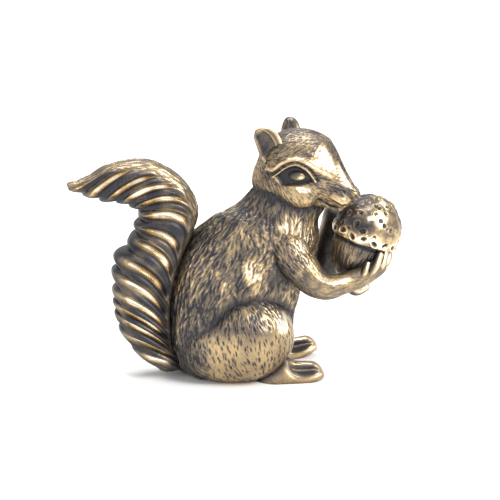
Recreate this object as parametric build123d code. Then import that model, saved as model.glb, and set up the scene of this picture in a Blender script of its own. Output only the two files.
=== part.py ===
from build123d import *
import os
from math import cos, radians, sin, sqrt

# Small brass squirrel that sits up and nibbles an acorn: a figure cast in sections.
# Dowels locate the trunk, head, limbs and tail on each other. The ears stand in sockets
# in the skull, and the nut sits in a socket in its cap. Every seam is soldered.
# Millimetres. +X is the way the squirrel faces, +Y its left side, +Z up.
# The origin is on the ground, under the middle of the figure's box.

# Trunk: an upright pear, lofted through ovals from the seat to the neck, each above the last
seat_centre_x = -1.4
seat_half_length = 5.4
seat_half_width = 4.4
hip_rise = 6.5
hip_centre_x = -1.1
hip_half_length = 8.7
hip_half_width = 5.8
waist_rise = 5.5
waist_centre_x = -0.2
waist_half_length = 9.0
waist_half_width = 5.5
chest_rise = 4.2
chest_centre_x = 1.4
chest_half_length = 8.7
chest_half_width = 5.4
chest_lean = 7.0
shoulder_rise = 3.8
shoulder_centre_x = 3.9
shoulder_half_length = 7.0
shoulder_half_width = 5.0
shoulder_lean = 10.0
neck_rise = 3.4
neck_centre_x = 6.3
neck_half_length = 4.6
neck_half_width = 4.1
neck_lean = 12.0

# Head: a wedge lofted along its own axis, turned to the right and bowed
head_rise = 3.5
head_lead = 0.6
head_turn = -32.0
head_bow = 16.0
nape_reach = 4.3
nape_half_width = 2.2
nape_half_height = 2.7
skull_reach = 2.4
skull_half_width = 4.3
skull_half_height = 4.5
skull_lift = 0.6
crown_reach = 1.0
crown_half_width = 4.7
crown_half_height = 5.2
crown_lift = 1.1
brow_reach = 4.3
brow_half_width = 3.8
brow_half_height = 4.7
brow_lift = 1.0
muzzle_reach = 6.9
muzzle_half_width = 2.0
muzzle_half_height = 2.8
muzzle_lift = 0.6
nose_reach = 9.4
nose_half_width = 0.7
nose_half_height = 0.9
nose_lift = 0.4

# Face: eggs set into or pressed into both sides of the head. Each row is the way ahead of the head's
# centre, out from its middle plane and above its axis, then the half length, half width and half height.
eye_tilt = 13.0
brow = (2.4, 3.5, 2.6, 3.6, 1.1, 1.0)
socket = (2.3, 4.7, 1.3, 2.4, 0.9, 1.2)
eyeball = (2.3, 3.9, 1.3, 1.3, 0.8, 0.8)
cheek = (2.7, 2.7, -1.2, 2.5, 1.9, 1.7)
lip = (7.6, 0.8, -0.4, 1.5, 1.0, 1.2)
mouth = (7.3, 2.0, -1.75, 1.7, 0.9, 0.25)
nose_tip = (9.4, 0.0, 0.6, 0.7, 0.95, 0.75)

# Ears: leaf-shaped cups laid back on the skull, each standing in its own socket
ear_back = 1.9
ear_side = 3.3
ear_up = 2.9
ear_root = 1.4
ear_height = 3.4
ear_half_width = 1.75
ear_half_thickness = 0.75
ear_splay = 24.0
ear_rake = -38.0
ear_turn = 52.0

# Acorn: a round nut in a domed cap, placed from the nose and leaning away from the chest
acorn_lead = 2.2
acorn_side = 3.4
acorn_drop = 7.0
acorn_lean = 20.0
nut_radius = 3.7
nut_length = 5.7
nut_shoulder = 1.2
cap_radius = 4.25
cap_height = 6.2
cap_bulge = 0.25
cap_socket_depth = 1.6

# Arms: bent tubes from the shoulder round the elbow to the paw that grips the nut. An upper row is
# the way ahead of the chest's middle, out from its side and above it, then the half thickness.
# A paw row is the same from the acorn's middle and the nut's side.
upper_arm_rows = [
    (2.2, -2.9, 4.0, 1.6),
    (4.7, -1.0, 1.4, 2.75),
    (6.7, -0.3, -1.4, 2.25),
    (9.2, 0.2, -3.2, 1.7),
]
right_paw_rows = [
    (-2.95, 0.4, -4.6, 1.5),
    (-0.35, 0.1, -3.8, 1.4),
    (1.45, -0.4, -2.7, 1.4),
    (2.25, -1.0, -1.5, 0.8),
]
left_paw_rows = [
    (-4.15, 2.8, -3.1, 1.6),
    (-3.15, 2.3, -1.2, 1.65),
    (-2.45, 1.6, 0.5, 1.7),
    (-1.5, 0.8, 1.6, 0.9),
]

# Haunches: big rounded thighs beside the hips, with a low rump behind each
thigh_half_length = 5.9
thigh_half_height = 6.1
thigh_standout = 3.0
thigh_centre_x = 1.3
thigh_sink = 0.15
thigh_gap = 2.6
rump_back = 3.6
rump_inset = 0.5
rump_sink = 0.3
rump_half_length = 5.6
rump_half_width = 4.9
rump_half_height = 4.5

# Hind feet: long flat-soled feet under the knees
foot_heel_x = 1.6
foot_toe_x = 11.0
foot_half_width = 1.65
foot_height = 2.8
foot_splay = 2.0
foot_inset = 2.3
sole_sink = 0.25

# Tail: an S-shaped plume of locks rooted on the trunk's back. Its front edge, the spine, and its back
# edge run through points measured back from the trunk and up from the ground.
tail_spine = [
    (-2.6, 0.8), (-1.1, 4.8), (-0.7, 9.0), (-1.2, 13.1), (-2.6, 17.1), (-4.1, 20.4), (-4.6, 23.1),
    (-3.5, 25.7), (-1.4, 27.8), (1.4, 29.2), (4.3, 29.3), (7.3, 28.4), (9.5, 26.9), (12.2, 26.4),
]
tail_edge = [
    (-0.2, 0.4), (3.1, 2.9), (5.5, 6.4), (6.2, 9.3), (6.4, 12.7), (6.2, 16.4), (4.7, 18.2), (3.9, 19.3),
    (3.3, 21.1), (2.8, 22.5), (4.0, 23.5), (5.3, 24.0), (7.4, 24.3), (9.3, 24.9), (12.2, 26.2),
]
# The crest of each lock: where it leaves the spine and where it meets the back edge, as shares of their
# lengths, and its half thickness. Between two locks lies a groove.
tail_locks = [
    (0.014, 0.07, 1.7), (0.032, 0.16, 2.6), (0.055, 0.24, 3.2), (0.09, 0.30, 3.5), (0.145, 0.355, 3.8),
    (0.20, 0.41, 3.9), (0.245, 0.48, 3.9), (0.295, 0.55, 3.7), (0.34, 0.625, 3.6), (0.395, 0.68, 3.4),
    (0.46, 0.715, 3.3), (0.525, 0.745, 3.2), (0.60, 0.775, 3.0), (0.67, 0.825, 2.8), (0.73, 0.885, 2.5),
    (0.81, 0.94, 1.9), (0.91, 0.98, 1.2),
]
tail_root_half_thickness = 1.0
tail_groove_depth = 0.85
tail_groove_inset = 0.08

# Dowels: plain brass wire, pressed into drilled holes
dowel_radius = 0.6
dowel_clearance = 0.02
dowel_depth = 1.8
shoulder_dowel_depth = 1.2
ankle_dowel_depth = 1.2
cut_reach = 100.0

# Places that several sections share
hip_height = hip_rise
waist_height = hip_height + waist_rise
chest_height = waist_height + chest_rise
shoulder_height = chest_height + shoulder_rise
neck_height = shoulder_height + neck_rise
above_ground = Pos(0, 0, cut_reach / 2) * Box(2 * cut_reach, 2 * cut_reach, cut_reach)


def oval(x, z, half_length, half_width, lean=0.0):
    """Oval section of the trunk, square to an axis that leans forward by lean degrees."""
    along = Vector(cos(radians(lean)), 0, -sin(radians(lean)))
    normal = Vector(sin(radians(lean)), 0, cos(radians(lean)))
    return Plane(Vector(x, 0, z), along, normal) * Ellipse(half_length, half_width)


def mirrored(solid):
    """The same section for the left side of the figure."""
    return mirror(solid, about=Plane.XZ)


# Trunk
def make_trunk():
    return loft([
        oval(seat_centre_x, 0, seat_half_length, seat_half_width),
        oval(hip_centre_x, hip_height, hip_half_length, hip_half_width),
        oval(waist_centre_x, waist_height, waist_half_length, waist_half_width),
        oval(chest_centre_x, chest_height, chest_half_length, chest_half_width, chest_lean),
        oval(shoulder_centre_x, shoulder_height, shoulder_half_length, shoulder_half_width, shoulder_lean),
        oval(neck_centre_x, neck_height, neck_half_length, neck_half_width, neck_lean),
    ])


# Head and ears
head_centre = Vector(neck_centre_x + head_lead, 0, neck_height + head_rise)
head_forward = Vector(1, 0, 0).rotate(Axis.Y, head_bow).rotate(Axis.Z, head_turn)
head_axis = Axis((0, 0, 0), head_forward)
head_left = Vector(0, 1, 0).rotate(Axis.Z, head_turn)
head_up = head_forward.cross(head_left)


def head_point(reach, lift):
    """A point in the head's middle plane, ahead of its centre and above its axis."""
    return head_centre + head_forward * reach + head_up * lift


def head_section(reach, half_width, half_height, lift=0.0):
    return Plane(head_point(reach, lift), head_left, head_forward) * Ellipse(half_width, half_height)


def make_head():
    return loft([
        head_section(-nape_reach, nape_half_width, nape_half_height),
        head_section(-skull_reach, skull_half_width, skull_half_height, skull_lift),
        head_section(crown_reach, crown_half_width, crown_half_height, crown_lift),
        head_section(brow_reach, brow_half_width, brow_half_height, brow_lift),
        head_section(muzzle_reach, muzzle_half_width, muzzle_half_height, muzzle_lift),
        head_section(nose_reach, nose_half_width, nose_half_height, nose_lift),
    ])


def face_egg(side, row, tilt=0.0):
    """An egg on one side of the head; tilt lifts its front end."""
    reach, out, lift, half_length, half_width, half_height = row
    along = head_forward.rotate(Axis((0, 0, 0), head_left), -tilt)
    plane = Plane(head_point(reach, lift) + head_left * (side * out), along, along.cross(head_left))
    return plane * scale(Sphere(half_height), by=(half_length / half_height, half_width / half_height, 1))


def face_on(head):
    """The head with brows, cheeks and lips raised, eye sockets and mouth pressed in, and eyeballs set in."""
    for side in (-1, 1):
        head = head + face_egg(side, brow, -eye_tilt) + face_egg(side, cheek) + face_egg(side, lip)
        head = head - face_egg(side, socket, eye_tilt) - face_egg(side, mouth)
        head = head + face_egg(side, eyeball, eye_tilt)
    return head + face_egg(1, nose_tip)


def make_ear(side):
    """A leaf lofted from its root inside the skull to its tip; side is 1 for left, -1 for right."""
    foot = head_point(-ear_back, ear_up) + head_left * (side * ear_side)
    rise = head_up.rotate(head_axis, -side * ear_splay)
    rise = rise.rotate(Axis((0, 0, 0), head_left), ear_rake)
    across = head_left.rotate(Axis((0, 0, 0), rise), side * ear_turn)
    across = (across - rise * across.dot(rise)).normalized()
    # height above the skull, then width and thickness as shares of the widest
    levels = [
        (-ear_root, 0.7, 1.0),
        (0.3 * ear_height, 1.0, 1.0),
        (0.7 * ear_height, 0.8, 0.8),
        (ear_height, 0.25, 0.4),
    ]
    return loft([
        Plane(foot + rise * level, across, rise) * Ellipse(ear_half_width * wide, ear_half_thickness * thick)
        for level, wide, thick in levels
    ])


# Acorn
acorn_axis = Vector(sin(radians(acorn_lean)), 0, cos(radians(acorn_lean)))
acorn_centre = head_point(nose_reach, nose_lift) + Vector(acorn_lead, acorn_side, -acorn_drop)
acorn_plane = Plane(acorn_centre, z_dir=acorn_axis)


def turned(lines):
    """A profile on the XZ plane, turned about the acorn's axis."""
    return acorn_plane.location * revolve(make_face(lines), Axis.Z, 360)


def make_nut():
    top = (0, 0, cap_socket_depth)
    edge = (nut_radius, 0, cap_socket_depth)
    shoulder = (nut_radius, 0, -nut_shoulder)
    tip = (0, 0, -nut_length)
    return turned([
        Line(top, edge),
        Line(edge, shoulder),
        Spline(shoulder, tip, tangents=[(0, 0, -1), (-1, 0, 0)]),
        Line(tip, top),
    ])


def make_cap():
    top = (0, 0, cap_height)
    rim = (cap_radius, 0, 0)
    socket_mouth = (nut_radius, 0, 0)
    socket_edge = (nut_radius, 0, cap_socket_depth)
    socket_floor = (0, 0, cap_socket_depth)
    return turned([
        Line(socket_floor, socket_edge),
        Line(socket_edge, socket_mouth),
        Line(socket_mouth, rim),
        Spline(rim, top, tangents=[(cap_bulge, 0, 1), (-1, 0, 0)]),
        Line(top, socket_floor),
    ])


# Arms
def arm_rings(side, paw_rows):
    """Centres and half thicknesses from shoulder to paw; side is 1 for left, -1 for right."""
    rings = [
        (Vector(chest_centre_x + ahead, side * (chest_half_width + out), chest_height + up), half_thickness)
        for ahead, out, up, half_thickness in upper_arm_rows
    ]
    rings += [
        (acorn_centre + Vector(ahead, side * (nut_radius + out), up), half_thickness)
        for ahead, out, up, half_thickness in paw_rows
    ]
    return rings


def make_arm(side, paw_rows):
    """A bent tube lofted through circles, each square to the line between its neighbours."""
    rings = arm_rings(side, paw_rows)
    circles = []
    for i, (place, half_thickness) in enumerate(rings):
        ahead = rings[min(i + 1, len(rings) - 1)][0] - rings[max(i - 1, 0)][0]
        circles.append(Plane(place, Vector(0, 1, 0), ahead) * Circle(half_thickness))
    return loft(circles)


# Haunches and feet
side_reach = hip_half_width + thigh_standout
thigh_y = side_reach - thigh_half_height
thigh_rise = thigh_half_height - thigh_sink
foot_y = side_reach - foot_half_width - foot_inset


def make_thigh():
    """The right thigh and rump: two eggs in one, flat where they sit and on their inner side."""
    thigh = scale(Sphere(thigh_half_height), by=(thigh_half_length / thigh_half_height, 1, 1))
    stretch = (rump_half_length / rump_half_height, rump_half_width / rump_half_height, 1)
    rump = scale(Sphere(rump_half_height), by=stretch)
    rump_place = Pos(thigh_centre_x - rump_back, rump_inset - thigh_y, rump_half_height - rump_sink)
    placed = Pos(thigh_centre_x, -thigh_y, thigh_rise) * thigh + rump_place * rump
    outer_side = Pos(0, -(cut_reach + thigh_gap / 2), 0) * Box(2 * cut_reach, 2 * cut_reach, 2 * cut_reach)
    return placed & outer_side & above_ground


def thigh_underside(x, y):
    """Height of the thigh's lower surface at a place on the ground."""
    along = (x - thigh_centre_x) / thigh_half_length
    out = (y - thigh_y) / thigh_half_height
    return thigh_rise - thigh_half_height * sqrt(1 - along**2 - out**2)


def make_foot():
    """The right foot: a slipper lofted from heel to toe, cut flat at the sole."""
    length = foot_toe_x - foot_heel_x
    # place along the foot, then width and height as shares of the largest
    stations = [(0.0, 0.75, 0.75), (0.45, 1.0, 1.0), (0.75, 1.0, 0.95), (0.93, 0.8, 0.7), (1.0, 0.35, 0.3)]
    rings = [
        Plane((place * length, 0, foot_height * tall / 2 - sole_sink), (0, 1, 0), (1, 0, 0))
        * Ellipse(foot_half_width * wide, foot_height * tall / 2 + sole_sink)
        for place, wide, tall in stations
    ]
    return (Pos(foot_heel_x, -foot_y, 0) * Rot(0, 0, -foot_splay) * loft(rings)) & above_ground


# Tail
tail_root_x = hip_centre_x - hip_half_length


def tail_curve(points):
    return Spline([(tail_root_x - back, 0, up) for back, up in points])


def make_tail():
    """The plume: locks that each swell from one groove to a crest and fall to the next groove, sewn skin to
    skin. Every section is an oval that spans the spine and the back edge, and the last lock is drawn out to
    a point."""
    spine = tail_curve(tail_spine)
    edge = tail_curve(tail_edge)

    def section(root, end, half_thickness, inset):
        front = spine @ root
        rear = edge @ end + (front - edge @ end) * inset
        across = front - rear
        plane = Plane((front + rear) / 2, across, Vector(0, 1, 0).cross(across))
        return plane * Ellipse(across.length / 2, half_thickness)

    grooves = [section(0, 0, tail_root_half_thickness, 0)]
    for lock, following in zip(tail_locks, tail_locks[1:]):
        root, end, half_thickness = [(a + b) / 2 for a, b in zip(lock, following)]
        grooves.append(section(root, end, half_thickness - tail_groove_depth, tail_groove_inset))
    grooves.append(Vertex(*((spine @ 1 + edge @ 1) / 2)))
    locks = [
        loft([before, section(*lock, 0), after])
        for before, lock, after in zip(grooves, tail_locks, grooves[1:])
    ]
    skins = [face for lock in locks for face in lock.faces() if face.geom_type != GeomType.PLANE]
    return Part(Solid(Shell([grooves[0].face(), *skins])).wrapped)


# Dowels
def dowel(middle, direction, depth, clearance=0.0):
    """A wire centred on a seam that reaches the same depth into both sections."""
    plane = Plane(Vector(*middle), z_dir=Vector(*direction))
    return plane * Cylinder(dowel_radius + clearance, 2 * (depth + clearance))


neck_normal = (sin(radians(neck_lean)), 0, cos(radians(neck_lean)))
shoulder_ahead = upper_arm_rows[1][0]
shoulder_x = chest_centre_x + shoulder_ahead
shoulder_y = chest_half_width * sqrt(1 - (shoulder_ahead / chest_half_length) ** 2)
shoulder_z = chest_height + upper_arm_rows[1][2]
ankle_x = thigh_centre_x + 0.7 * thigh_half_length
ankle_height = thigh_underside(ankle_x, foot_y)
dowel_sets = {
    "neck_dowel": [((neck_centre_x, 0, neck_height), neck_normal, dowel_depth)],
    "shoulder_dowels": [
        ((shoulder_x, side * shoulder_y, shoulder_z), (0, 1, 0), shoulder_dowel_depth) for side in (-1, 1)
    ],
    "hip_dowels": [
        ((hip_centre_x, side * hip_half_width, hip_height), (0, 1, 0), dowel_depth) for side in (-1, 1)
    ],
    "ankle_dowels": [
        ((ankle_x, side * foot_y, ankle_height), (0, 0, 1), ankle_dowel_depth) for side in (-1, 1)
    ],
    "tail_dowels": [
        ((tail_root_x, 0, hip_height), (1, 0, 0), dowel_depth),
        ((waist_centre_x - waist_half_length, 0, waist_height), (1, 0, 0), dowel_depth),
    ],
}
dowels = {name: [dowel(*place) for place in places] for name, places in dowel_sets.items()}
dowel_holes = [dowel(*place, dowel_clearance) for places in dowel_sets.values() for place in places]

# Sections, each cut by the larger ones that it is soldered to
trunk = make_trunk()
nut = make_nut()
cap = make_cap()
right_ear = make_ear(-1)
left_ear = make_ear(1)
head = face_on(make_head()) - trunk - nut - cap - right_ear - left_ear
tail = make_tail() - trunk
right_arm = make_arm(-1, right_paw_rows) - trunk - nut - cap
left_arm = make_arm(1, left_paw_rows) - trunk - nut - cap
right_thigh = make_thigh() - trunk - tail
left_thigh = mirrored(make_thigh()) - trunk - tail
right_foot = make_foot() - right_thigh - trunk
left_foot = mirrored(make_foot()) - left_thigh - trunk

sections = {
    "trunk": trunk,
    "head": head,
    "right_arm": right_arm,
    "left_arm": left_arm,
    "right_thigh": right_thigh,
    "left_thigh": left_thigh,
    "right_foot": right_foot,
    "left_foot": left_foot,
    "tail": tail,
}
nodes = {name: section - dowel_holes for name, section in sections.items()}
nodes.update({
    "right_ear": right_ear,
    "left_ear": left_ear,
    "acorn_nut": nut,
    "acorn_cap": cap,
})
nodes.update({name: Compound(wires) for name, wires in dowels.items()})

os.makedirs("parts", exist_ok=True)
for name, shape in nodes.items():
    export_step(shape, f"parts/{name}.step")
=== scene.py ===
import itertools
from math import cos, pi, radians, sin

import bpy
import numpy as np
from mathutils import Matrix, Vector


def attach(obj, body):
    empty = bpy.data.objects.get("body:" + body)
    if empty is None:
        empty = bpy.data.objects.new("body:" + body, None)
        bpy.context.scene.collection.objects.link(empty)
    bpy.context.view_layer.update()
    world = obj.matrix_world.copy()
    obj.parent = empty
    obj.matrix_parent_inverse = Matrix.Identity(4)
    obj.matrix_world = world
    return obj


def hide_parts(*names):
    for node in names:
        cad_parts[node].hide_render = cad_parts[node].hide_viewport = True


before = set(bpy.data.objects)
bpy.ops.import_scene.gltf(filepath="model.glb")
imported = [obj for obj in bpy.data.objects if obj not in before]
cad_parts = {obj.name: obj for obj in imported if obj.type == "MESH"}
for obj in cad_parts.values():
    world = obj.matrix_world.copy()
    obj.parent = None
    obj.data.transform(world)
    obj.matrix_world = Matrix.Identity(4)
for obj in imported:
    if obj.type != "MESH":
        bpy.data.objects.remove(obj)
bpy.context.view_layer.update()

# Antiqued brass squirrel with an acorn. Shapes are worked out in millimetres in the frame of the CAD model:
# +X is the way the squirrel faces, +Y its left side, +Z up. Meshes are written in metres.
MM = 0.001

# Camera, from the photograph
camera_azimuth = -9.0
camera_elevation = 16.0
camera_distance = 260.0
camera_aim = (1.8, 0.0, 16.7)
pixels_per_mm = 7.6
picture_width = 500
sensor_width = 36.0


# Small helpers for arrays of points
def unit(vectors):
    return vectors / np.maximum(np.linalg.norm(vectors, axis=-1, keepdims=True), 1e-9)


def dot(a, b):
    return (a * b).sum(-1)


def blend(a, b, share):
    return a + (b - a) * share


def ramp(low, high, value):
    """Eased step: 0 at low, 1 at high and a smooth S between them."""
    share = np.clip((value - low) / (high - low), 0, 1)
    return share * share * (3 - 2 * share)


def bell(value, width):
    """Round bump: 1 at zero, falling as the exponential of minus the square of value over width."""
    return np.exp(-(value / width) ** 2)


def curve_through(rows, t):
    """Smooth curve through the rows, met at equal steps of t from 0 to 1: cubics whose slope at a row is
    half the step between its neighbours."""
    rows = np.asarray(rows, float)
    padded = np.vstack([2 * rows[0] - rows[1], rows, 2 * rows[-1] - rows[-2]])
    place = np.clip(np.asarray(t, float), 0, 1) * (len(rows) - 1)
    start = np.minimum(place.astype(int), len(rows) - 2)
    s = (place - start)[..., None]
    a, b, c, d = (padded[start + k] for k in range(4))
    return 0.5 * (2 * b + (c - a) * s + (2 * a - 5 * b + 4 * c - d) * s**2 + (3 * b - a - 3 * c + d) * s**3)


def even_curve(rows, t, samples=400):
    """The same curve, with t measured evenly along its length."""
    fine = curve_through(rows, np.linspace(0, 1, samples))
    length = np.concatenate([[0], np.cumsum(np.linalg.norm(np.diff(fine, axis=0), axis=1))])
    return curve_through(rows, np.interp(np.asarray(t) * length[-1], length, np.linspace(0, 1, samples)))


def height_at(rows, x):
    """Height of a flat curve above each x."""
    fine = curve_through(rows, np.linspace(0, 1, 80))
    return np.interp(x, fine[:, 0], fine[:, 1])


def gap_to(rows, x, y):
    """Distance of flat points from a curve, as the least distance to its samples."""
    gap = np.full(np.shape(x), 99.0)
    for sample in even_curve(rows, np.linspace(0, 1, 70)):
        gap = np.minimum(gap, np.hypot(x - sample[0], y - sample[1]))
    return gap


# Repeatable chance, worked out from where a point lies
def chance(cells, salt):
    """A number from 0 to 1 for each whole-number cell, from multiplying and folding its bits."""
    mask = np.uint64(0xFFFFFFFF)
    c = cells.astype(np.int64).astype(np.uint64)
    h = c[..., 0] * np.uint64(73856093) ^ c[..., 1] * np.uint64(19349663) ^ c[..., 2] * np.uint64(83492791)
    h = (h + np.uint64(salt * 2654435761 % 2**32)) & mask
    for fold, factor in ((15, 739179857), (12, 695872825), (15, 1540483477)):
        h = ((h ^ (h >> np.uint64(fold))) * np.uint64(factor)) & mask
    return (h ^ (h >> np.uint64(13))).astype(float) / 2**32


def lumps(points, size, salt):
    """Smooth noise from -1 to 1: chance values on a lattice of the given size, eased between its corners."""
    scaled = points / size
    base = np.floor(scaled)
    share = scaled - base
    share = share * share * (3 - 2 * share)
    total = 0
    for corner in itertools.product((0, 1), repeat=3):
        weight = np.prod(np.where(np.array(corner) == 1, share, 1 - share), axis=-1)
        total = total + weight * chance(base + corner, salt)
    return 2 * total - 1


def strokes(points, normals, flow, spacing, half_length, half_width, salt, per_cube=2):
    """Chisel strokes laid along the flow: 0 on the skin, 1 in mid-stroke. Space is cut into cubes, each holds
    a few strokes at chance places, and a stroke is 1 minus the squares of the distances along it, across it
    and off it, each over its own reach."""
    along = unit(flow - normals * dot(flow, normals)[..., None])
    across = np.cross(normals, along)
    base = np.floor(points / spacing)
    depth = np.zeros(points.shape[:-1])
    for step in itertools.product((-1, 0, 1), repeat=3):
        cube = base + step
        for k in range(per_cube):
            seed = salt + 10 * k
            jitter = np.stack([chance(cube, seed + axis) for axis in range(3)], axis=-1)
            size = 0.65 + 0.7 * chance(cube, seed + 3)
            lean = 0.5 * (chance(cube, seed + 4) - 0.5)
            gap = points - (cube + jitter) * spacing
            a = dot(gap, along)
            b = dot(gap, across)
            reach = ((a + lean * b) / (half_length * size)) ** 2 + ((b - lean * a) / half_width) ** 2
            reach = reach + (dot(gap, normals) / (0.45 * spacing)) ** 2
            depth = np.maximum(depth, 1 - reach)
    return depth


def layered(long, short):
    """A coat of long strokes with weaker short ones between them."""
    return np.maximum(long, 0.7 * short)


# Chisel strokes: spacing, half length and half width in millimetres, and where their chance starts
trunk_long_strokes = (0.8, 0.8, 0.17, 11)
trunk_short_strokes = (0.5, 0.4, 0.1, 131)
trunk_light_strokes = (0.6, 0.65, 0.09, 211)
head_long_strokes = (0.65, 0.5, 0.12, 41)
head_short_strokes = (0.5, 0.3, 0.09, 151)
head_dashes = (0.9, 0.5, 0.12, 181)
ear_hairs = (0.6, 0.7, 0.1, 51)
arm_long_strokes = (0.7, 0.65, 0.14, 61)
arm_short_strokes = (0.5, 0.4, 0.09, 161)
nut_grooves = (0.8, 1.2, 0.14, 81)
thigh_dashes = (0.8, 0.5, 0.14, 21)
thigh_fur = (0.6, 0.55, 0.12, 171)
tail_hairs = (0.7, 1.0, 0.1, 91)
# how deep the strokes of each section are cut, in millimetres
stroke_depth = {"trunk": 0.16, "head": 0.11, "ear": 0.1, "arm": 0.15, "nut": 0.14, "thigh": 0.13, "tail": 0.1}


# Distances to rounded solids, negative inside
def ball(p, centre, radii):
    """Distance to an egg: the scaled length less one, brought back to size by its own slope."""
    q = (p - np.array(centre)) / np.array(radii)
    length = np.linalg.norm(q, axis=-1)
    return length * (length - 1) / np.maximum(np.linalg.norm(q / np.array(radii), axis=-1), 1e-6)


def cone(p, start, end, start_radius, end_radius):
    """Distance to a round-ended bar whose radius changes evenly from start to end."""
    axis = np.subtract(end, start)
    gap = p - np.array(start)
    share = np.clip(dot(gap, axis) / (axis @ axis), 0, 1)
    return np.linalg.norm(gap - share[..., None] * axis, axis=-1) - blend(start_radius, end_radius, share)


def limb(p, rows):
    """Distance to a chain of bars through rows of x, y, z and radius."""
    return np.min([cone(p, a[:3], b[:3], a[3], b[3]) for a, b in zip(rows, rows[1:])], axis=0)


def melt(a, b, width):
    """Smooth union: the lesser distance, drawn in where the two are within width of each other."""
    share = np.clip(0.5 + 0.5 * (b - a) / width, 0, 1)
    return blend(b, a, share) - width * share * (1 - share)


# Masks from 0 to 1, and tones laid on with them
def spot(x, y, middle, reach):
    """Soft oval on a flat side: 1 in its middle, with its own reach along each of the two directions."""
    return bell(np.hypot((x - middle[0]) / reach[0], (y - middle[1]) / reach[1]), 1.0)


def paint(patina_and_light, *layers):
    """Tones laid in turn over the patina and painted light, each as far as its mask goes."""
    for tone, mask in layers:
        patina_and_light = blend(patina_and_light, tone, mask)
    return patina_and_light


def seam(*gaps):
    """Painted shade in the seams: 1 where another piece touches, gone about a millimetre away."""
    return 1 - np.prod([1 - bell(np.maximum(gap, 0), 0.6) for gap in gaps], axis=0)


def soft_patches(points, patches):
    """Soft round patches, 1 in their middle, for painted highlights and painted shadow."""
    return np.max([
        bell(np.linalg.norm((points - np.array(middle)) / np.array(radii), axis=-1), 1.0)
        for middle, radii in patches
    ], axis=0)


# Grids, sized as (rows, columns): rows run from pole to pole, columns run round and close on themselves
def full_turn(columns):
    return np.linspace(0, 2 * pi, columns, endpoint=False)


def grid_normals(grid):
    """Outward normals: the cross product of the steps round and along the grid."""
    round_step = np.roll(grid, -1, axis=1) - np.roll(grid, 1, axis=1)
    along_step = np.gradient(grid, axis=0)
    return unit(np.cross(round_step, along_step))


def push(grid, normals, amount):
    """Each point moved along its normal."""
    return grid + normals * amount[..., None]


def cast(grid, height, size, salt):
    """The grid pushed in and out by smooth lumps, as a casting is never quite even."""
    return push(grid, grid_normals(grid), height * lumps(grid, size, salt))


def grid_faces(rows, columns, first):
    """Quads between neighbouring rings, and a fan of triangles at each pole. Vertices are numbered from
    first: the rings in order, then the two poles."""
    ring = first + np.arange(rows * columns).reshape(rows, columns)
    turned_ring = np.roll(ring, -1, axis=1)
    quads = np.stack([ring[:-1], turned_ring[:-1], turned_ring[1:], ring[1:]], axis=-1).reshape(-1, 4)
    south = np.full(columns, first + rows * columns)
    north = south + 1
    fans = np.concatenate([
        np.stack([turned_ring[0], ring[0], south], axis=-1),
        np.stack([ring[-1], turned_ring[-1], north], axis=-1),
    ])
    return quads.tolist() + fans.tolist()


class Shell:
    """A closed grid in millimetres with a tone at each point, patina together with painted highlights, shade
    and reflections: 0 bright, where rubbed and where a highlight is painted, 1 dark.
    """

    def __init__(self, grid, patina_and_light):
        self.grid = grid
        self.grid[..., 2] = np.maximum(grid[..., 2], 0.0)
        self.patina_and_light = np.clip(np.broadcast_to(patina_and_light, grid.shape[:2]), 0, 1)


def add_object(name, data):
    """A new object in the scene."""
    added = bpy.data.objects.new(name, data)
    bpy.context.scene.collection.objects.link(added)
    return added


def make_piece(name, shells, slot, *nodes):
    """One mesh object from closed grids: their rings, and the mean of the end rings as poles."""
    points, values, faces = [], [], []
    count = 0
    for shell in shells:
        rows, columns = shell.grid.shape[:2]
        faces += grid_faces(rows, columns, count)
        points += [shell.grid.reshape(-1, 3), shell.grid[[0, -1]].mean(axis=1)]
        values += [shell.patina_and_light.reshape(-1), shell.patina_and_light[[0, -1]].mean(axis=1)]
        count += rows * columns + 2
    mesh = bpy.data.meshes.new(name)
    mesh.from_pydata((np.concatenate(points) * MM).tolist(), [], faces)
    mesh.polygons.foreach_set("use_smooth", np.ones(len(mesh.polygons), bool))
    # the tone goes into an attribute: patina, with painted highlights, shade and reflections
    layer = mesh.attributes.new("patina_and_light", "FLOAT", "POINT")
    layer.data.foreach_set("value", np.concatenate(values).astype(np.float32))
    mesh.materials.append(finishes[slot])
    mesh.update()
    piece = add_object(name, mesh)
    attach(piece, "root")
    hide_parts(*nodes)


pole_gap = 0.004
longest_ray = 14.0
halvings = 22


def cut_rays(distance, centre, rows, columns):
    """Rays from a centre, in rings from -X to +X, each as long as it stays inside the shape; the length is
    found by halving the doubtful stretch over and over."""
    polar = np.linspace(pi - pole_gap, pole_gap, rows)
    angle = full_turn(columns)
    rays = np.stack([
        np.cos(polar)[:, None] * np.ones_like(angle),
        np.sin(polar)[:, None] * np.cos(angle),
        np.sin(polar)[:, None] * np.sin(angle),
    ], axis=-1)
    inside = np.zeros((rows, columns))
    outside = np.full((rows, columns), longest_ray)
    for _ in range(halvings):
        middle = (inside + outside) / 2
        hit = distance(centre + rays * middle[..., None]) < 0
        inside = np.where(hit, middle, inside)
        outside = np.where(hit, outside, middle)
    return centre + rays * inside[..., None]


def tube(centres, radii, columns, sideways=(0, 1, 0)):
    """A round bar carried along a path: each ring is a circle square to the path."""
    ahead = unit(np.gradient(centres, axis=0))
    lateral = unit(np.broadcast_to(sideways, ahead.shape) - ahead * dot(np.asarray(sideways), ahead)[:, None])
    normal = np.cross(ahead, lateral)
    angle = full_turn(columns)
    ring = lateral[:, None] * np.cos(angle)[:, None] + normal[:, None] * np.sin(angle)[:, None]
    return centres[:, None] + ring * radii[:, None, None]


def round_ends(s, start, end):
    """Radius share along a bar from s = 0 to 1, with elliptical ends that take up the shares start and
    end."""
    low = np.sqrt(np.clip(1 - np.clip(1 - s / start, 0, 1) ** 2, 0, 1))
    high = np.sqrt(np.clip(1 - np.clip(1 - (1 - s) / end, 0, 1) ** 2, 0, 1))
    return np.maximum(low * high, 0.02)


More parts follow.
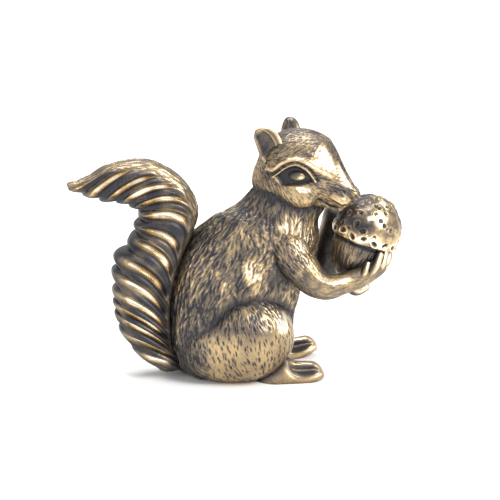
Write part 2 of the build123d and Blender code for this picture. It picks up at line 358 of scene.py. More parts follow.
# Brass
fine_grain = 4200.0
coarse_grain = 420.0
tarnish_dulls = 0.3
tarnish_roughens = 0.25
grain_roughens = 0.1
grain_strength = 0.25
grain_height = 0.00003


def node_group(name, inputs, outputs):
    """An empty shader node group with named number sockets."""
    group = bpy.data.node_groups.new(name, "ShaderNodeTree")
    for label, default in inputs:
        socket = group.interface.new_socket(label, in_out="INPUT", socket_type="NodeSocketFloat")
        socket.default_value = default
    for label in outputs:
        group.interface.new_socket(label, in_out="OUTPUT", socket_type="NodeSocketFloat")
    return group, group.nodes.new("NodeGroupInput"), group.nodes.new("NodeGroupOutput")


def math_node(tree, operation, a, b):
    node = tree.nodes.new("ShaderNodeMath")
    node.operation = operation
    for socket, value in zip(node.inputs, (a, b)):
        if isinstance(value, (int, float)):
            socket.default_value = value
        else:
            tree.links.new(value, socket)
    return node.outputs[0]


def noise_node(tree, scale, detail):
    """Noise on Object coordinates, in cells per metre."""
    place = tree.nodes.new("ShaderNodeTexCoord")
    noise = tree.nodes.new("ShaderNodeTexNoise")
    noise.inputs["Scale"].default_value = scale
    noise.inputs["Detail"].default_value = detail
    tree.links.new(place.outputs["Object"], noise.inputs["Vector"])
    return noise.outputs["Fac"]


def tone_group():
    """Tone of the metal: the sculpted value, patina in the hollows together with painted highlights, shade
    and reflections, broken up by fine and coarse noise.
    """
    group, given, result = node_group("FinishTone", [("PatinaAndLight", 0.5), ("Breakup", 0.3)], ["Tone", "Grain"])
    fine = noise_node(group, fine_grain, 3.0)
    coarse = noise_node(group, coarse_grain, 2.0)
    speckle = math_node(group, "SUBTRACT", math_node(group, "ADD", fine, coarse), 1.0)
    spread = math_node(group, "MULTIPLY", speckle, given.outputs["Breakup"])
    group.links.new(math_node(group, "ADD", given.outputs["PatinaAndLight"], spread), result.inputs["Tone"])
    group.links.new(fine, result.inputs["Grain"])
    return group


tone_nodes = tone_group()
brass_tones = [
    # tone, then colour: bright, where rubbed and where highlights are painted, gold, bronze, dark
    (0.04, (0.95, 0.91, 0.80)),
    (0.28, (0.56, 0.40, 0.20)),
    (0.58, (0.178, 0.142, 0.105)),
    (0.92, (0.032, 0.032, 0.038)),
]


def antique_brass(name, shine):
    """Cast brass whose colour and gloss follow the tone group: patina, with painted highlights, shade and
    reflections.
    """
    material = bpy.data.materials.new(name)
    material.use_nodes = True
    tree = material.node_tree
    shader = tree.nodes["Principled BSDF"]
    hollow = tree.nodes.new("ShaderNodeAttribute")
    hollow.attribute_name = "patina_and_light"
    patina_and_light = tree.nodes.new("ShaderNodeGroup")
    patina_and_light.node_tree = tone_nodes
    tree.links.new(hollow.outputs["Fac"], patina_and_light.inputs["PatinaAndLight"])
    tone = patina_and_light.outputs["Tone"]
    tones = tree.nodes.new("ShaderNodeValToRGB")
    stops = tones.color_ramp.elements
    while len(stops) < len(brass_tones):
        stops.new(0.5)
    for stop, (place, colour) in zip(stops, brass_tones):
        stop.position = place
        stop.color = (*colour, 1)
    tree.links.new(tone, tones.inputs["Fac"])
    tree.links.new(tones.outputs["Color"], shader.inputs["Base Color"])
    dulled = math_node(tree, "MULTIPLY", tone, tarnish_dulls)
    tree.links.new(math_node(tree, "SUBTRACT", 1.0, dulled), shader.inputs["Metallic"])
    grain = math_node(tree, "MULTIPLY", patina_and_light.outputs["Grain"], grain_roughens)
    tarnish = math_node(tree, "MULTIPLY", tone, tarnish_roughens)
    rough = math_node(tree, "ADD", tarnish, shine)
    tree.links.new(math_node(tree, "ADD", rough, grain), shader.inputs["Roughness"])
    bump = tree.nodes.new("ShaderNodeBump")
    bump.inputs["Strength"].default_value = grain_strength
    bump.inputs["Distance"].default_value = grain_height
    tree.links.new(patina_and_light.outputs["Grain"], bump.inputs["Height"])
    tree.links.new(bump.outputs["Normal"], shader.inputs["Normal"])
    return material


finishes = {
    # slot in the record: material, and how rough it is where its tone is brightest, rubbed or painted as a
    # highlight
    "furred_brass": antique_brass("coat of brass", 0.2),
    "plume_brass": antique_brass("plume of brass", 0.16),
    "acorn_brass": antique_brass("acorn of brass", 0.18),
    "dowel_brass": antique_brass("dowel of brass", 0.2),
}
for node in ("neck_dowel", "shoulder_dowels", "hip_dowels", "ankle_dowels", "tail_dowels"):
    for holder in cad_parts[node].material_slots:
        holder.material = finishes["dowel_brass"]


# Where the sections lie, for their own shapes and for the painted shade where they meet
trunk_rows = [
    # height, middle along x, half length, half width, forward lean in degrees
    (0.0, -1.4, 4.8, 3.4, 0),
    (0.9, -1.5, 6.6, 4.6, 0),
    (3.0, -1.4, 8.0, 5.5, 0),
    (6.5, -1.1, 8.7, 5.8, 0),
    (12.0, -0.2, 9.0, 5.5, 0),
    (16.2, 1.4, 8.7, 5.4, 7),
    (18.4, 2.7, 8.2, 5.3, 10),
    (20.2, 4.0, 7.0, 5.0, 10),
    (21.9, 5.5, 5.5, 4.6, 10),
    (23.8, 7.0, 5.0, 4.2, 12),
    (26.2, 7.2, 3.6, 3.4, 16),
]
left_shoulder_rows = [
    # x, y, z, half thickness
    (3.6, 1.4, 21.0, 1.0),
    (5.0, 2.3, 19.2, 2.2),
    (6.2, 3.7, 17.4, 2.6),
    (7.6, 4.5, 15.5, 2.4),
]
right_arm_rows = [(x, -y, z, radius) for x, y, z, radius in left_shoulder_rows] + [
    (9.1, -5.4, 13.8, 2.0),
    (11.0, -5.7, 12.9, 1.65),
    (13.5, -5.6, 13.3, 1.35),
    (16.1, -5.3, 14.1, 1.25),
    (17.9, -4.8, 15.0, 1.2),
    (18.7, -4.2, 16.0, 0.7),
]
left_arm_rows = left_shoulder_rows + [
    (9.1, 5.3, 13.8, 2.0),
    (11.3, 5.3, 12.4, 1.9),
    (13.3, 5.0, 13.2, 2.0),
    (13.5, 4.5, 16.2, 1.9),
    (13.9, 4.1, 18.2, 1.85),
    (14.2, 3.7, 20.2, 1.75),
    (14.6, 3.3, 21.5, 1.1),
]
thigh_centre = np.array([1.3, -2.7, 6.0])
thigh_radii = np.array([5.9, 6.1, 6.1])
rump_centre = np.array([-2.3, -2.2, 4.2])
rump_radii = np.array([5.6, 4.9, 4.5])
head_centre = np.array([6.9, -0.3, 27.0])
head_turn = radians(-32)
head_bow = radians(16)
head_forward = np.array([cos(head_bow) * cos(head_turn), cos(head_bow) * sin(head_turn), -sin(head_bow)])
head_left = np.array([-sin(head_turn), cos(head_turn), 0.0])
head_up = np.cross(head_forward, head_left)
head_axes = np.stack([head_forward, head_left, head_up])
# the tail as a chain of bars: x, y, z, half thickness
tail_middle = [(-8.4, 0, 0.7, 2.0), (-11.2, 0, 5.0, 3.5), (-12.5, 0, 10.0, 3.8), (-12.2, 0, 15.0, 3.7),
               (-10.0, 0, 20.0, 3.4), (-9.4, 0, 24.0, 3.0)]
lip_middle = (7.95, 0.95, -0.5)
lip_radii = (1.2, 1.05, 1.15)


def head_distance(p):
    """Skull, nape, muzzle, jaw, cheeks, chin, lips and nose melted together, in the head's own axes."""
    q = np.stack([p[..., 0], np.abs(p[..., 1]), p[..., 2]], axis=-1)
    skull = ball(q, (0.9, 0, 1.1), (5.3, 4.7, 5.2))
    nape = ball(q, (-1.2, 0, -1.4), (3.4, 3.7, 3.3))
    muzzle = cone(q * (1, 1.2, 1), (2.8, 0, 1.8), (8.6, 0, 0.5), 4.4, 1.3)
    jaw = cone(q, (1.5, 0, -2.1), (5.8, 0, -1.3), 2.1, 1.0)
    cheek = ball(q, (2.7, 2.7, -1.2), (2.5, 1.9, 1.7))
    chin = cone(q, (5.0, 0, -1.5), (7.9, 0, -1.75), 1.15, 0.6)
    lip = ball(q, lip_middle, lip_radii)
    nose = ball(q, (9.4, 0, 0.6), (0.7, 0.85, 0.65))
    widths = [(nape, 0.9), (muzzle, 1.5), (jaw, 0.8), (cheek, 0.9), (chin, 0.3), (lip, 0.35), (nose, 0.4)]
    shape = skull
    for part, width in widths:
        shape = melt(shape, part, width)
    return shape


def head_gap(p):
    """Distance to the head from points of the frame."""
    return head_distance((p - head_centre) @ head_axes.T)


def thigh_gap(p, side):
    """Distance to a haunch: an egg for the knee and thigh melted into a low one behind it; side is -1 on
    the right."""
    q = p * (1, -side, 1)
    return melt(ball(q, thigh_centre, thigh_radii), ball(q, rump_centre, rump_radii), 1.6)


def trunk_gap(p):
    """Distance to the trunk, as a chain of bars in a space where it is as wide as long."""
    rows = [(x, 0, z, half_length) for z, x, half_length, _, _ in trunk_rows[1:-1]]
    return limb(p * (1, 1.5, 1), rows)


# Trunk
trunk_grid = (270, 350)
trunk_highlights = [
    # middle and reach of each painted highlight: chest, breast, flank behind the elbow, far chest
    ((6.7, -4.2, 20.4), (1.8, 2.5, 2.4)),
    ((9.0, -3.2, 18.6), (1.1, 2.5, 2.4)),
    ((1.5, -5.2, 15.3), (1.6, 2.0, 1.9)),
    ((6.8, 4.4, 20.6), (1.7, 2.0, 2.2)),
]
# painted shadow in the creases behind the elbows
crease_shadows = [((4.8, side * 5.2, 14.0), (1.3, 2.0, 1.3)) for side in (-1, 1)]


def make_trunk():
    """Ovals carried from the seat to the neck along a leaning path, then cut by the strokes of the coat."""
    rows, columns = trunk_grid
    values = curve_through(trunk_rows, np.linspace(0, 1, rows))
    height, centre, half_length, half_width, lean = np.moveaxis(values, -1, 0)
    angle = full_turn(columns)
    lean = np.radians(lean)
    along = half_length[:, None] * np.cos(angle)
    grid = np.stack([
        centre[:, None] + along * np.cos(lean)[:, None],
        half_width[:, None] * np.sin(angle) * np.ones_like(along),
        height[:, None] - along * np.sin(lean)[:, None],
    ], axis=-1)
    grid = cast(grid, height=0.28, size=2.6, salt=1)
    normals = grid_normals(grid)
    x, _, z = np.moveaxis(grid, -1, 0)

    # coat, which hangs down and sweeps backwards over the back
    back = ramp(3.0, -5.0, x) * ramp(9.0, 17.0, z)
    sway = 0.75 * lumps(grid, 1.1, 6)
    flow = np.stack([sway - 0.1 - 0.55 * back, 0 * x, -np.ones_like(x)], axis=-1)
    long = strokes(grid, normals, flow, *trunk_long_strokes)
    coat = layered(long, strokes(grid, normals, flow, *trunk_short_strokes))
    light = strokes(grid, normals, flow, *trunk_light_strokes) * (1 - long)

    # painted shade beside the other sections, beside the arms only below them
    under_arm = ramp(18.0, 15.5, z + 0.35 * x - 2.0)
    arm_gap = np.minimum(limb(grid, right_arm_rows), limb(grid, left_arm_rows)) + 9 * (1 - under_arm)
    tail_gap = limb(grid, tail_middle)
    painted_shade = seam(arm_gap, thigh_gap(grid, -1), thigh_gap(grid, 1), 0.6 * head_gap(grid), 1.6 * tail_gap)
    # painted shadow in the creases behind the elbows
    painted_shade = np.maximum(painted_shade, 0.9 * soft_patches(grid, crease_shadows))
    # painted highlights on the chest, breast and flank
    painted_highlight = ramp(0.15, 0.7, soft_patches(grid, trunk_highlights) + 0.2 * lumps(grid, 0.8, 8))
    # upward faces are darker: painted reflection of a dark room above and a bright floor below
    patina_and_light = 0.58 + 0.17 * lumps(grid, 2.2, 3) + 0.1 * normals[..., 2] + 0.04 * ramp(-3.5, -7.5, x)
    patina_and_light = patina_and_light - 0.36 * light
    patina_and_light = blend(patina_and_light, 0.02, 0.95 * painted_highlight) + (0.5 + 0.3 * painted_highlight) * coat
    patina_and_light = blend(patina_and_light, 0.92, 0.85 * painted_shade)
    grid = push(grid, normals, -stroke_depth["trunk"] * coat * ramp(0.0, 1.2, z))
    make_piece("trunk_coat", [Shell(grid, patina_and_light)], "furred_brass", "trunk")


# Head, in its own axes: forward, left and up. Curves and spots are drawn on its side as (forward, up).
head_grid = (290, 340)
brow_curve = [
    (-1.64, 0.89), (-0.72, 1.25), (0.2, 2.49), (1.49, 3.37), (2.85, 3.53), (4.26, 3.08), (6.09, 2.55),
    (7.73, 2.19),
]
lid_curve = [(-0.49, 0.33), (0.07, 1.05), (0.79, 2.08), (1.84, 2.87), (3.0, 2.83), (3.92, 2.32), (4.82, 1.42)]
lower_lid_curve = [(-0.49, 0.3), (0.98, -0.34), (2.39, 0.09), (3.66, 0.59), (4.82, 1.4)]
lip_curve = [(5.6, -1.2), (6.1, -1.65), (7.1, -1.85), (8.0, -1.6), (8.9, -0.8)]
chin_curve = [(6.0, -1.8), (6.7, -2.2), (7.5, -2.3), (8.2, -2.1), (8.8, -1.6)]
eye_middle = (2.5, 1.5)
eye_half_length = 1.2
eye_half_height = 0.72
eye_tilt = radians(13)
nostril_middle = (9.75, 0.6)
nostril_aside = 0.5
# spots: middle and reach, the glint along and across the eye; the shine spot and the eye glint are painted
# highlights
cheek_spot = ((3.2, -1.2), (1.9, 1.25))
shine_spot = ((3.7, 0.05), (1.1, 0.42))
muzzle_shade = ((7.1, 0.95), (0.9, 0.5))
eye_glint = ((0.55, -0.1), (0.3, 0.22))
# how far each feature is raised, in millimetres
head_relief = {"socket": -0.55, "eyeball": 0.5, "lid": 0.14, "fold": -0.16, "brow": 0.36, "pouch": 0.12,
               "mouth": -0.35, "nostril": -0.25}


def make_head():
    """Rays from the head's centre, in rings from nape to nose, each cut where it leaves the melted shape;
    then eyes, mouth and coat are pressed into the skin."""
    local = cut_rays(head_distance, np.zeros(3), *head_grid)
    normals = grid_normals(local)
    forward, left, up = np.moveaxis(local, -1, 0)
    aside = np.abs(left)
    flank = ramp(1.2, 2.6, aside)

    # eyes
    over = height_at(lid_curve, forward) - up
    under = up - height_at(lower_lid_curve, forward)
    within = ramp(-0.6, -0.3, forward) * ramp(5.0, 4.6, forward)
    socket = ramp(0.0, 0.4, np.minimum(over, under)) * flank * within
    ahead, above = forward - eye_middle[0], up - eye_middle[1]
    along_eye = ahead * cos(eye_tilt) + above * sin(eye_tilt)
    across_eye = above * cos(eye_tilt) - ahead * sin(eye_tilt)
    eyeball = 1 - (along_eye / eye_half_length) ** 2 - (across_eye / eye_half_height) ** 2
    eyeball = np.sqrt(np.clip(eyeball, 0, 1)) * flank
    lid_gap = gap_to(lid_curve, forward, up)
    lid = bell(lid_gap, 0.1) * flank
    fold = bell(lid_gap - 0.36, 0.13) * (over < 0) * flank
    brow_gap = gap_to(brow_curve, forward, up)
    brow = bell(brow_gap, 0.34) * flank
    pouch = bell(gap_to(lower_lid_curve, forward, up), 0.2) * flank

    # mouth and nostrils
    mouth = bell(gap_to(lip_curve, forward, up), 0.16) * ramp(0.1, 0.5, aside)
    nostril = bell(np.hypot(forward - nostril_middle[0], up - nostril_middle[1]), 0.22)
    nostril = nostril * bell(aside - nostril_aside, 0.25)
    lip_gap = ball(np.stack([forward, aside, up], axis=-1), lip_middle, lip_radii)
    lip = bell(lip_gap, 0.25) * ramp(0.4, 0.0, up)
    above_lip = bell(lip_gap - 0.45, 0.25) * ramp(-0.7, 0.0, up)
    chin = bell(gap_to(chin_curve, forward, up), 0.12)

    # coat, thin over the forehead, the bridge of the nose and the cheeks; the forehead and the bridge carry a
    # painted highlight
    above_brow = up - height_at(brow_curve, forward)
    forehead = ramp(3.2, 4.2, forward) * ramp(7.2, 6.0, forward) * ramp(0.1, 0.6, above_brow)
    forehead = forehead * ramp(0.9, 1.6, aside)
    bridge = ramp(5.6, 6.6, forward) * ramp(9.7, 9.2, forward) * ramp(0.3, 0.7, aside) * ramp(1.5, 1.0, aside)
    forehead = np.maximum(forehead, bridge * ramp(-0.9, -0.4, above_brow))
    cheek = spot(forward, up, *cheek_spot) * flank
    flow = np.stack([-np.ones_like(forward), 0 * forward, 0.55 - 0.35 * up], axis=-1)
    long = strokes(local, normals, flow, *head_long_strokes)
    coat = layered(long, strokes(local, normals, flow, *head_short_strokes))
    dashes = strokes(local, normals, flow, *head_dashes)
    coat = blend(coat, dashes, np.maximum(forehead, 0.6 * cheek)) * (1 - 0.85 * socket) * (1 - lid)
    coat = coat * (1 - 0.75 * brow) * (1 - 0.85 * lip)

    masks = {"socket": socket, "eyeball": eyeball, "lid": lid, "fold": fold, "brow": brow, "pouch": pouch,
             "mouth": mouth, "nostril": nostril}
    shift = sum(head_relief[feature] * mask for feature, mask in masks.items())
    local = push(local, normals, shift - stroke_depth["head"] * coat)

    # patina, with painted highlights, painted shadow and painted reflection
    # painted highlight below the eye
    shine = ramp(0.3, 0.7, spot(forward, up, *shine_spot)) * flank
    under_brow = bell(brow_gap - 0.55, 0.2) * flank * (above_brow < 0)
    # upward faces are darker: painted reflection of a dark room above and a bright floor below
    patina_and_light = 0.46 + 0.12 * lumps(local, 1.8, 5) + 0.1 * normals[..., 2]
    patina_and_light = paint(
        patina_and_light,
        # painted highlight on the forehead and the bridge of the nose
        (0.03, 0.97 * forehead),
        (0.31, 0.9 * cheek),
        (0.0, shine),
        (0.82, 0.9 * spot(forward, up, *muzzle_shade)),
        (0.8, 0.8 * above_lip),
        (0.24, lip),
        (0.12, 0.9 * chin),
        (0.75, 0.7 * under_brow),
        (0.14, 0.95 * brow),
        (0.95, socket),
        # eyeball darker towards its top: painted shadow of the lid; also darker towards its back
        (0.68 - 0.22 * along_eye + 0.35 * across_eye, ramp(0.0, 0.35, eyeball)),
        # painted highlight on the eyeball
        (0.05, spot(along_eye, across_eye, *eye_glint) * flank),
        (0.85, fold),
        (0.16, 0.9 * lid),
    )
    patina_and_light = blend(patina_and_light + 0.42 * coat, 0.97, np.maximum(mouth, nostril))
    grid = head_centre + local @ head_axes
    # painted shade under the chin, where the head meets the trunk
    patina_and_light = blend(patina_and_light, 0.92, 0.8 * seam(0.5 * trunk_gap(grid)) * ramp(-1.6, -2.6, up))
    make_piece("head_coat", [Shell(grid, patina_and_light)], "furred_brass", "head")


# Ears
ear_grid = (70, 96)
# share of the height that stands in the skull, half the wall's thickness and the height of the fold inside
ear_root = 0.25
ear_wall = 0.42
ear_fold_height = 0.18


def make_ear(name, node, base, tip, opening, half_width, cup_depth, skew):
    """A cupped leaf. At each level its width swells and closes towards the tip; across the width the
    middle of the wall dips as a parabola, and the wall is thickened to both sides with a round rim."""
    base = head_centre + np.array(base) @ head_axes
    tip = head_centre + np.array(tip) @ head_axes
    opening = np.array(opening) @ head_axes
    rise = unit(tip - base)
    facing = unit(opening - rise * (opening @ rise))
    across = np.cross(rise, facing)
    levels, columns = ear_grid
    level = -ear_root + (1 + ear_root) * np.sin(np.linspace(0, pi / 2, levels))
    angle = full_turn(columns)
    open_level = np.clip(level, 0, 1)
    width = half_width * np.maximum(1 - open_level**2.4, 0.0) ** 0.5 + 0.03
    shift = skew * np.sin(pi * open_level)
    wall = ear_wall * np.sign(np.sin(angle)) * np.sqrt(np.abs(np.sin(angle)))
    share = width / half_width
    sag = -cup_depth * np.sin(angle)[None, :] ** 2 * share[:, None]
    sideways = width[:, None] * np.cos(angle) + shift[:, None]
    out = sag + wall * np.sqrt(share)[:, None]
    grid = base + level[:, None, None] * (tip - base)
    grid = grid + sideways[..., None] * across + out[..., None] * facing
    inner = ramp(0.55, 0.8, np.sin(angle)) * ramp(0.95, 0.75, level)[:, None]
    outer = ramp(-0.2, -0.6, np.sin(angle))
    fold = inner * bell(np.cos(angle) - 0.45, 0.13)
    grid = push(grid, facing, ear_fold_height * fold)
    patina_and_light = 0.34 - 0.2 * np.cos(angle) + 0.5 * inner - 0.3 * fold + 0.25 * outer
    patina_and_light = patina_and_light + 0.1 * lumps(grid, 0.7, 7)
    normals = grid_normals(grid)
    hairs = strokes(grid, normals, np.broadcast_to(rise, grid.shape), *ear_hairs) * outer
    grid = push(grid, normals, -stroke_depth["ear"] * hairs)
    make_piece(name, [Shell(grid, patina_and_light + 0.35 * hairs)], "furred_brass", node)


# Arms
arm_grid = (210, 130)
finger_grid = (44, 28)
arm_highlights = [
    # middle and reach of each painted highlight: shoulder, upper arm, forearm, far shoulder
    ((7.9, -5.6, 18.6), (0.8, 3.0, 1.3)),
    ((9.4, -5.6, 16.4), (0.6, 3.0, 1.5)),
    ((13.2, -6.6, 13.9), (1.3, 3.0, 0.35)),
    ((7.9, 5.6, 18.6), (0.8, 3.0, 1.3)),
]


def make_arm(name, node, rows, fingers, forearm):
    """A bar from shoulder to knuckles with strokes along the upper arm, and one small bar per finger.
    Forearm is the share of the length where the coat ends."""
    side = np.sign(rows[0][1])
    steps, columns = arm_grid
    s = np.linspace(0, 1, steps)
    values = even_curve(rows, s)
    centres, radii = values[:, :3], values[:, 3]
    grid = tube(centres, radii * round_ends(s, 0.03, 0.05), columns)
    grid = cast(grid, height=0.14, size=1.8, salt=9)
    normals = grid_normals(grid)
    ahead = np.broadcast_to(np.gradient(centres, axis=0)[:, None], grid.shape)
    long = strokes(grid, normals, ahead, *arm_long_strokes)
    coat = layered(long, strokes(grid, normals, ahead, *arm_short_strokes))
    furry = ramp(forearm + 0.1, forearm - 0.12, s)[:, None]
    # painted highlights on the shoulders, upper arm and forearm
    painted_highlight = soft_patches(grid, arm_highlights)
    patina_and_light = 0.51 - 0.05 * furry + 0.16 * lumps(grid, 1.3, 4)
    patina_and_light = blend(patina_and_light, 0.04, 0.9 * painted_highlight) + coat * (0.2 + 0.35 * furry)
    # painted shade on the side facing the body, and under the arm where it meets the trunk
    inner = ramp(0.1, 0.6, -normals[..., 1] * side) * ramp(0.2, 0.45, s)[:, None]
    painted_shade = np.maximum(seam(trunk_gap(grid)) * ramp(0.4, -0.3, normals[..., 2]), 0.9 * inner)
    grid = push(grid, normals, -stroke_depth["arm"] * coat * (0.2 + 0.8 * furry))
    shells = [Shell(grid, blend(patina_and_light, 0.93, 0.92 * painted_shade))]

    steps, columns = finger_grid
    s = np.linspace(0, 1, steps)
    for finger in fingers:
        values = even_curve(finger, s)
        grid = tube(values[:, :3], values[:, 3] * round_ends(s, 0.1, 0.12), columns)
        # painted highlight along the outer top of each finger, painted shade on its other sides
        outward = dot(grid_normals(grid), np.array([0.4, side, 0.35]))
        shells.append(Shell(grid, 0.9 - 0.72 * ramp(0.6, 1.1, outward)))
    make_piece(name, shells, "furred_brass", node)


right_fingers = [
    # x, y, z, half thickness
    [(15.2, -5.9, 13.9, 0.5), (15.9, -6.1, 14.8, 0.5), (16.5, -5.5, 16.1, 0.45)],
    [(16.3, -5.9, 14.0, 0.55), (17.3, -6.0, 15.3, 0.55), (18.3, -5.1, 17.2, 0.45)],
    [(17.2, -5.4, 14.4, 0.55), (18.4, -5.3, 15.5, 0.55), (19.1, -4.3, 17.2, 0.45)],
    [(18.0, -4.6, 14.8, 0.55), (19.3, -4.3, 15.7, 0.55), (19.7, -3.2, 17.0, 0.45)],
    [(13.9, -4.9, 12.6, 0.6), (15.4, -3.6, 11.5, 0.65), (17.3, -2.7, 11.9, 0.5)],
]
left_fingers = [
    [(13.6, 4.9, 17.2, 0.55), (14.8, 4.6, 17.0, 0.55), (16.2, 3.5, 16.8, 0.45)],
    [(13.8, 4.7, 18.2, 0.55), (15.2, 4.3, 18.4, 0.55), (16.8, 3.2, 18.4, 0.45)],
    [(14.0, 4.3, 19.1, 0.55), (15.3, 3.9, 19.7, 0.55), (16.9, 3.1, 20.0, 0.45)],
    [(14.0, 3.6, 19.5, 0.55), (15.0, 3.2, 20.7, 0.55), (16.4, 2.7, 21.6, 0.45)],
]


# Acorn
acorn_centre = np.array([17.2, -1.5, 19.5])
acorn_lean = radians(20)
acorn_axis = np.array([sin(acorn_lean), 0.0, cos(acorn_lean)])
acorn_side = np.array([cos(acorn_lean), 0.0, -sin(acorn_lean)])
cap_profile = [
    # radius, height along the axis from the middle of the cap
    (0.1, -1.9), (3.2, -1.95), (3.95, -1.85), (4.25, -1.4), (4.4, -0.2), (4.3, 1.2), (3.7, 2.5), (2.5, 3.6),
    (1.2, 4.2), (0.1, 4.35),
]
nut_profile = [
    (0.1, -7.6), (1.0, -7.4), (2.2, -6.7), (3.2, -5.4), (3.7, -3.8), (3.8, -2.4), (3.7, -1.5), (0.1, -1.4),
]
cap_grid = (200, 320)
nut_grid = (160, 280)
# the ring of pits along the cap's rim: their number, the ring's radius and height, and how wide they are
rim_pits = 17
rim_pit_ring = 4.2
rim_pit_height = -0.95
rim_pit_stretch = 1.3
# how deep every pit is pressed in and how high its rim stands
pit_depth = 0.16
pit_rim_height = 0.08
# two pits that show plainly, and the middle and reach of the painted highlights
twin_pits = [(18.1, -5.4, 21.35), (18.55, -5.5, 20.75)]
cap_highlights = [
    ((18.1, -5.4, 21.4), (1.0, 1.5, 1.0)),
    ((17.0, -5.2, 21.8), (0.7, 1.5, 0.35)),
    ((18.9, -3.1, 23.1), (0.5, 0.9, 0.5)),
]


def turned(profile, rows, columns):
    """A profile of radius and height, turned about the acorn's leaning axis."""
    radius, height = np.moveaxis(even_curve(profile, np.linspace(0, 1, rows)), -1, 0)
    angle = full_turn(columns)
    spoke = np.cos(angle)[:, None] * acorn_side + np.sin(angle)[:, None] * np.array([0.0, 1.0, 0.0])
    return acorn_centre + radius[:, None, None] * spoke + height[:, None, None] * acorn_axis


def pits(points, spacing, radius, salt):
    """Round pits at chance places, one to a cube of the given spacing: how deep a point lies in one and how
    near it lies to a rim, both from 0 to 1."""
    base = np.floor(points / spacing)
    nearest = np.full(points.shape[:-1], 9.0)
    for step in itertools.product((-1, 0, 1), repeat=3):
        cube = base + step
        jitter = np.stack([chance(cube, salt + axis) for axis in range(3)], axis=-1)
        size = radius * (0.7 + 0.6 * chance(cube, salt + 3))
        gap = np.linalg.norm(points - (cube + jitter) * spacing, axis=-1) / size
        nearest = np.minimum(nearest, gap)
    return ramp(1.0, 0.5, nearest), bell(nearest - 1.25, 0.3)


def make_cap():
    """The cap's dome, turned, lumpy, with round pits pressed in and raised rims round them."""
    grid = turned(cap_profile, *cap_grid)
    grid = push(grid, grid_normals(grid), 0.2 * lumps(grid, 1.5, 71) + 0.1 * lumps(grid, 0.7, 72))
    normals = grid_normals(grid)
    height = dot(grid - acorn_centre, acorn_axis)
    across = dot(grid - acorn_centre, acorn_side)
    turn = np.arctan2(grid[..., 1] - acorn_centre[1], across)
    floor, rim = pits(grid, spacing=1.05, radius=0.32, salt=75)
    bead = turn / (2 * pi) * rim_pits
    sideways = (bead - np.round(bead)) * 2 * pi * rim_pit_ring / rim_pits / rim_pit_stretch
    away = np.hypot(sideways, height - rim_pit_height + 0.2 * np.sin(3 * bead))
    dome = ramp(-0.6, 0.0, height)
    floor = np.maximum(floor * dome, ramp(0.34, 0.16, away))
    rim = np.maximum(rim * dome, bell(away - 0.46, 0.14))
    twin = np.minimum(*(np.linalg.norm(grid - np.array(middle), axis=-1) for middle in twin_pits))
    # painted highlights on the cap
    painted_highlight = soft_patches(grid, cap_highlights)
    floor = np.maximum(floor * (1 - painted_highlight), ramp(0.42, 0.28, twin))
    rim = rim * (1 - painted_highlight)
    lower = ramp(0.6, -0.6, height - 0.15 * across)
    shade = ramp(1.0, -2.5, across) * ramp(-0.8, 0.4, height)
    patina_and_light = 0.52 - 0.2 * lower + 0.32 * shade + 0.2 * lumps(grid, 0.9, 73) - 0.2 * rim
    patina_and_light = paint(
        patina_and_light,
        (0.0, ramp(0.2, 0.6, painted_highlight)),
        (0.95, floor),
        # painted shade on the underside of the rim
        (0.95, ramp(-1.55, -1.85, height)),
    )
    grid = push(grid, normals, pit_rim_height * rim - pit_depth * floor)
    make_piece("acorn_cap_pitted", [Shell(grid, patina_and_light)], "acorn_brass", "acorn_cap")


def make_nut():
    """The nut, turned, with fine grooves from rim to tip."""
    grid = turned(nut_profile, *nut_grid)
    normals = grid_normals(grid)
    groove = strokes(grid, normals, np.broadcast_to(acorn_axis, grid.shape), *nut_grooves)
    height = dot(grid - acorn_centre, acorn_axis)
    patina_and_light = 0.55 + 0.24 * groove + 0.14 * lumps(grid, 1.3, 83)
    # painted shadow under the cap's rim, and painted shade where the right arm lies against the nut
    patina_and_light = blend(patina_and_light, 0.95, np.maximum(ramp(-2.6, -2.0, height), seam(limb(grid, right_arm_rows))))
    grid = push(grid, normals, -stroke_depth["nut"] * groove)
    make_piece("acorn_nut_grooved", [Shell(grid, patina_and_light)], "acorn_brass", "acorn_nut")


# Haunches
thigh_grid = (220, 330)
# middle and reach of the painted highlight on the left knee, and the height of the band of painted dark
# reflection
knee_highlight_patch = ((5.1, 6.6, 8.6), (1.1, 2.2, 2.0))
reflection_band_height = 8.1


